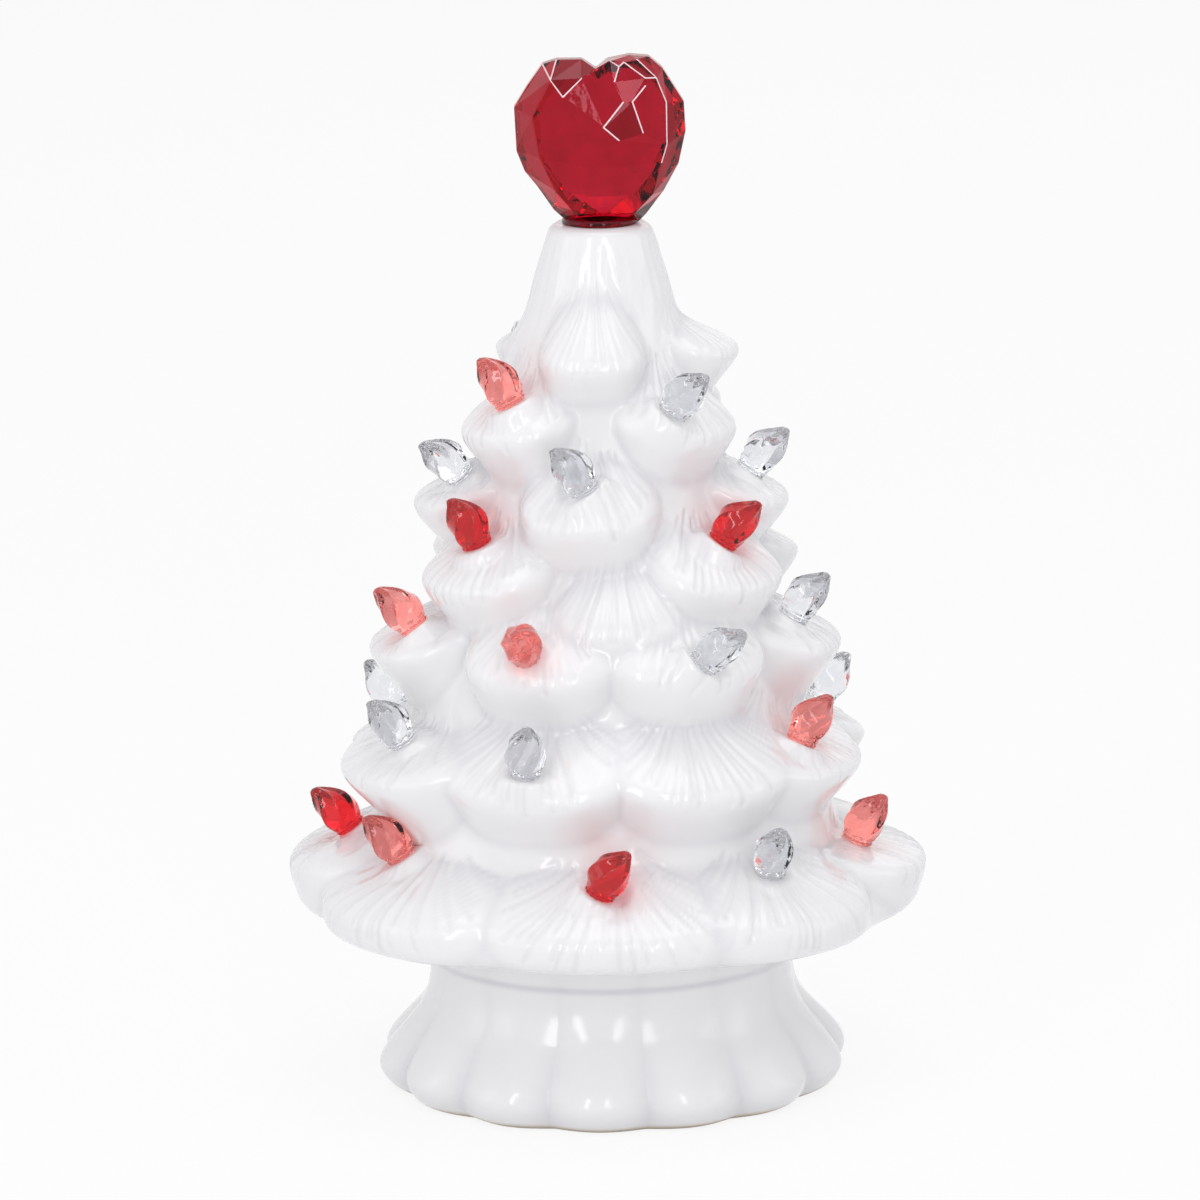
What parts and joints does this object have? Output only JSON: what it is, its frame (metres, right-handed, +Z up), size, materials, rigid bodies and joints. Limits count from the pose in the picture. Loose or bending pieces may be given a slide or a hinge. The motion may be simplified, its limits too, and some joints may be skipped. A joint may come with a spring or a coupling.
{
  "type": "artificial tabletop tree",
  "caption": "White glazed ceramic tabletop tree with rounded boughs, twist bulbs and a faceted red heart, lifting off a fluted base with a button-cell light unit.",
  "frame": {"origin": "on the table under the tree's axis, at the middle of the base's foot", "axes": "+Z up, -Y towards the front, +X to the right seen from the front"},
  "size_m": [0.1067, 0.1055, 0.1744],
  "materials": {
    "white_glaze": "thick clear-white gloss glaze over earthenware",
    "heart_acrylic": "polished translucent red acrylic, moulded facets",
    "bulb_clear": "clear acrylic, moulded spiral facets",
    "bulb_pink": "translucent coral pink acrylic, moulded spiral facets",
    "bulb_red": "translucent red acrylic, moulded spiral facets",
    "white_plastic": "moulded, fine matt texture",
    "grey_plastic": "moulded, matt",
    "black_plastic": "moulded, satin",
    "nickel_strip": "nickel-plated spring steel",
    "cell_steel": "plain stainless cell can",
    "screw_steel": "zinc plated",
    "silicone": "matt translucent silicone",
    "board_green": "solder-masked board",
    "resistor_body": "lacquered",
    "dome_plastic": "frosted translucent polypropylene",
    "led_epoxy": "clear epoxy",
    "wire_red": "PVC insulation",
    "wire_black": "PVC insulation",
    "wire_white": "PVC insulation"
  },
  "bodies": {
    "base": {"base_shell": "white_glaze", "unit_plate": "white_plastic", "unit_housing": "white_plastic", "battery_bay": "grey_plastic", "plate_contact": "nickel_strip", "spring_contact": "nickel_strip", "button_cell_1": "cell_steel", "button_cell_2": "cell_steel", "button_cell_3": "cell_steel", "plate_screws": "screw_steel", "switch_body": "black_plastic", "gasket_ring": "silicone", "led_board": "board_green", "resistor": "resistor_body", "light_dome": "dome_plastic", "wire_red": "wire_red", "wire_black": "wire_black", "wire_white": "wire_white", "led_1": "led_epoxy", "led_2": "led_epoxy", "led_3": "led_epoxy"},
    "tree": {"tree_shell": "white_glaze", "bulb_pink_1": "bulb_pink", "bulb_clear_2": "bulb_clear", "bulb_red_3": "bulb_red", "bulb_clear_4": "bulb_clear", "bulb_clear_5": "bulb_clear", "bulb_clear_6": "bulb_clear", "bulb_clear_7": "bulb_clear", "bulb_pink_8": "bulb_pink", "bulb_red_9": "bulb_red", "bulb_red_10": "bulb_red", "bulb_clear_11": "bulb_clear", "bulb_pink_12": "bulb_pink", "bulb_pink_13": "bulb_pink", "bulb_pink_14": "bulb_pink", "bulb_clear_15": "bulb_clear", "bulb_clear_16": "bulb_clear", "bulb_red_17": "bulb_red", "bulb_clear_18": "bulb_clear", "bulb_red_19": "bulb_red", "bulb_clear_20": "bulb_clear", "bulb_clear_21": "bulb_clear", "bulb_pink_22": "bulb_pink", "bulb_clear_23": "bulb_clear", "bulb_red_24": "bulb_red", "bulb_pink_25": "bulb_pink", "bulb_clear_26": "bulb_clear", "bulb_red_27": "bulb_red", "bulb_pink_28": "bulb_pink", "bulb_red_29": "bulb_red", "bulb_clear_30": "bulb_clear", "bulb_pink_31": "bulb_pink", "bulb_red_32": "bulb_red", "bulb_clear_33": "bulb_clear", "bulb_pink_34": "bulb_pink"},
    "heart": {"heart_topper": "heart_acrylic"},
    "door": {"battery_door": "white_plastic", "door_screw": "screw_steel"},
    "knob": {"switch_knob": "black_plastic"}
  },
  "joints": [
    {"name": "tree_lift", "type": "slide", "parent": "base", "child": "tree", "axis": [0, 0, 1], "range_m": [0, 0.06]},
    {"name": "heart_lift", "type": "slide", "parent": "tree", "child": "heart", "axis": [0, 0, 1], "range_m": [0, 0.012]},
    {"name": "door_lift", "type": "slide", "parent": "base", "child": "door", "axis": [0, 0, -1], "range_m": [0, 0.012]},
    {"name": "switch_slide", "type": "slide", "parent": "base", "child": "knob", "axis": [1, 0, 0], "range_m": [0, 0.0026]}
  ]
}
